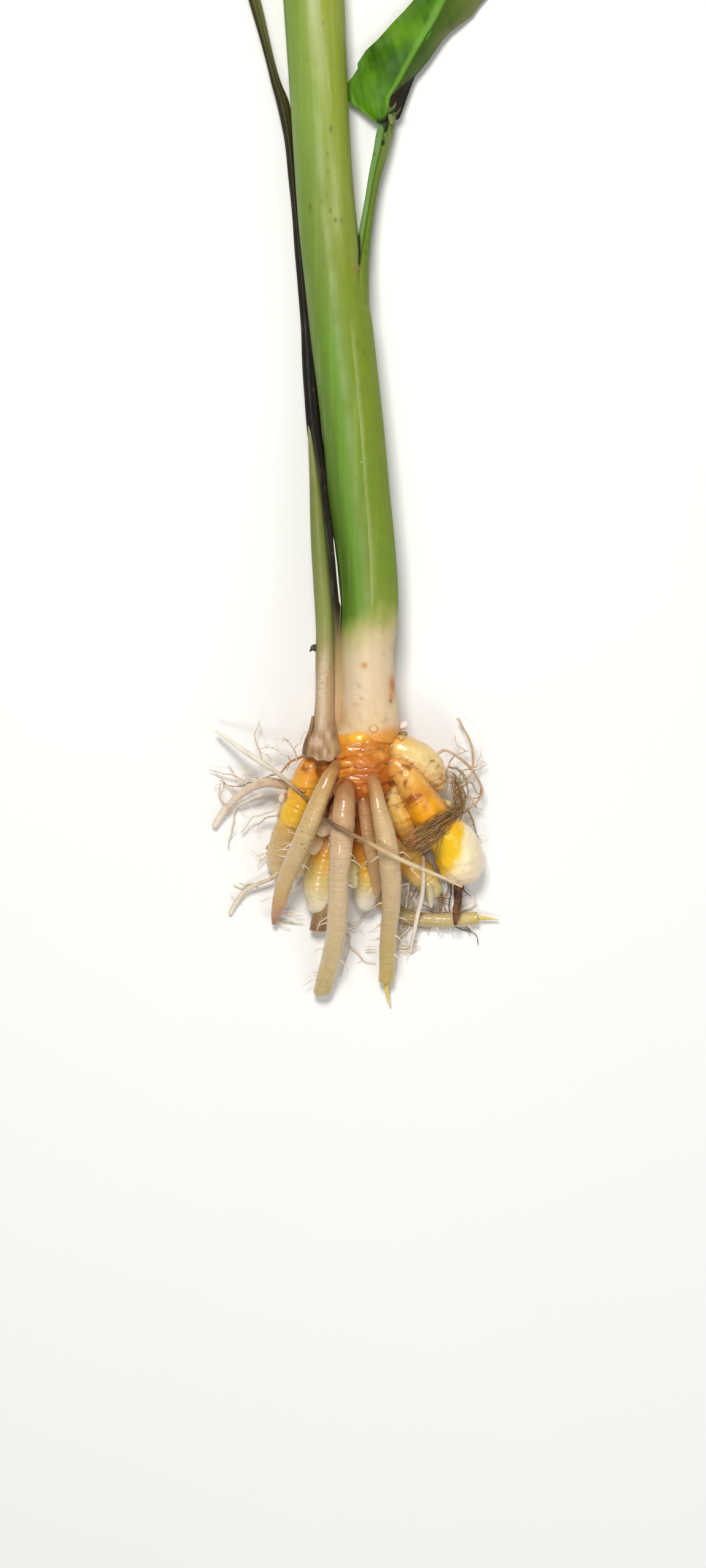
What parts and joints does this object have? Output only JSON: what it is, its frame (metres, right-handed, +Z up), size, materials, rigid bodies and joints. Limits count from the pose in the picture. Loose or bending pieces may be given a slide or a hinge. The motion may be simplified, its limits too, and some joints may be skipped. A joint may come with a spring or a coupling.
{
  "type": "turmeric root",
  "caption": "Freshly dug turmeric plant lying down: branching rhizome with long orange fingers, hanging storage roots and fine roots, leafy shoot trimmed square across",
  "frame": {"origin": "on the small flat that the rhizome's heel rests on, straight below the crown where the main stem springs from the rhizome", "axes": "+Y along the shoots from the rhizome to the trimmed end, +X to the side that the outer leaf leaves on, +Z up from the surface the plant lies on"},
  "size_m": [0.1123, 0.386, 0.044],
  "materials": {
    "rhizome_skin": "moist waxy skin, orange brown to cream",
    "storage_root_skin": "moist tan skin with fine cross wrinkles",
    "dead_root_skin": "dark dried skin",
    "fibrous_root_skin": "matte pale fibre",
    "stem_sheath": "satin ribbed leaf sheath",
    "leaf_green": "satin leaf",
    "side_shoot_sheath": "satin ribbed leaf sheath with dry strips",
    "dry_scale": "matte dry papery scale"
  },
  "bodies": {
    "root": {"rhizome": "rhizome_skin", "main_stem": "stem_sheath", "outer_leaf": "leaf_green", "side_shoot": "side_shoot_sheath", "base_scale": "dry_scale", "storage_root_left": "storage_root_skin", "storage_root_centre": "storage_root_skin", "storage_root_right": "storage_root_skin", "storage_root_rear": "storage_root_skin", "storage_root_low": "storage_root_skin", "storage_root_dead": "dead_root_skin", "storage_root_stub": "storage_root_skin", "storage_root_young": "storage_root_skin", "fibrous_root_left": "fibrous_root_skin", "fibrous_root_upper_left": "fibrous_root_skin", "fibrous_root_lower_left": "fibrous_root_skin", "fibrous_root_crossing": "fibrous_root_skin", "fibrous_root_flat": "fibrous_root_skin", "fibrous_root_hooped": "fibrous_root_skin", "fibrous_root_upper_right": "fibrous_root_skin"}
  },
  "joints": []
}
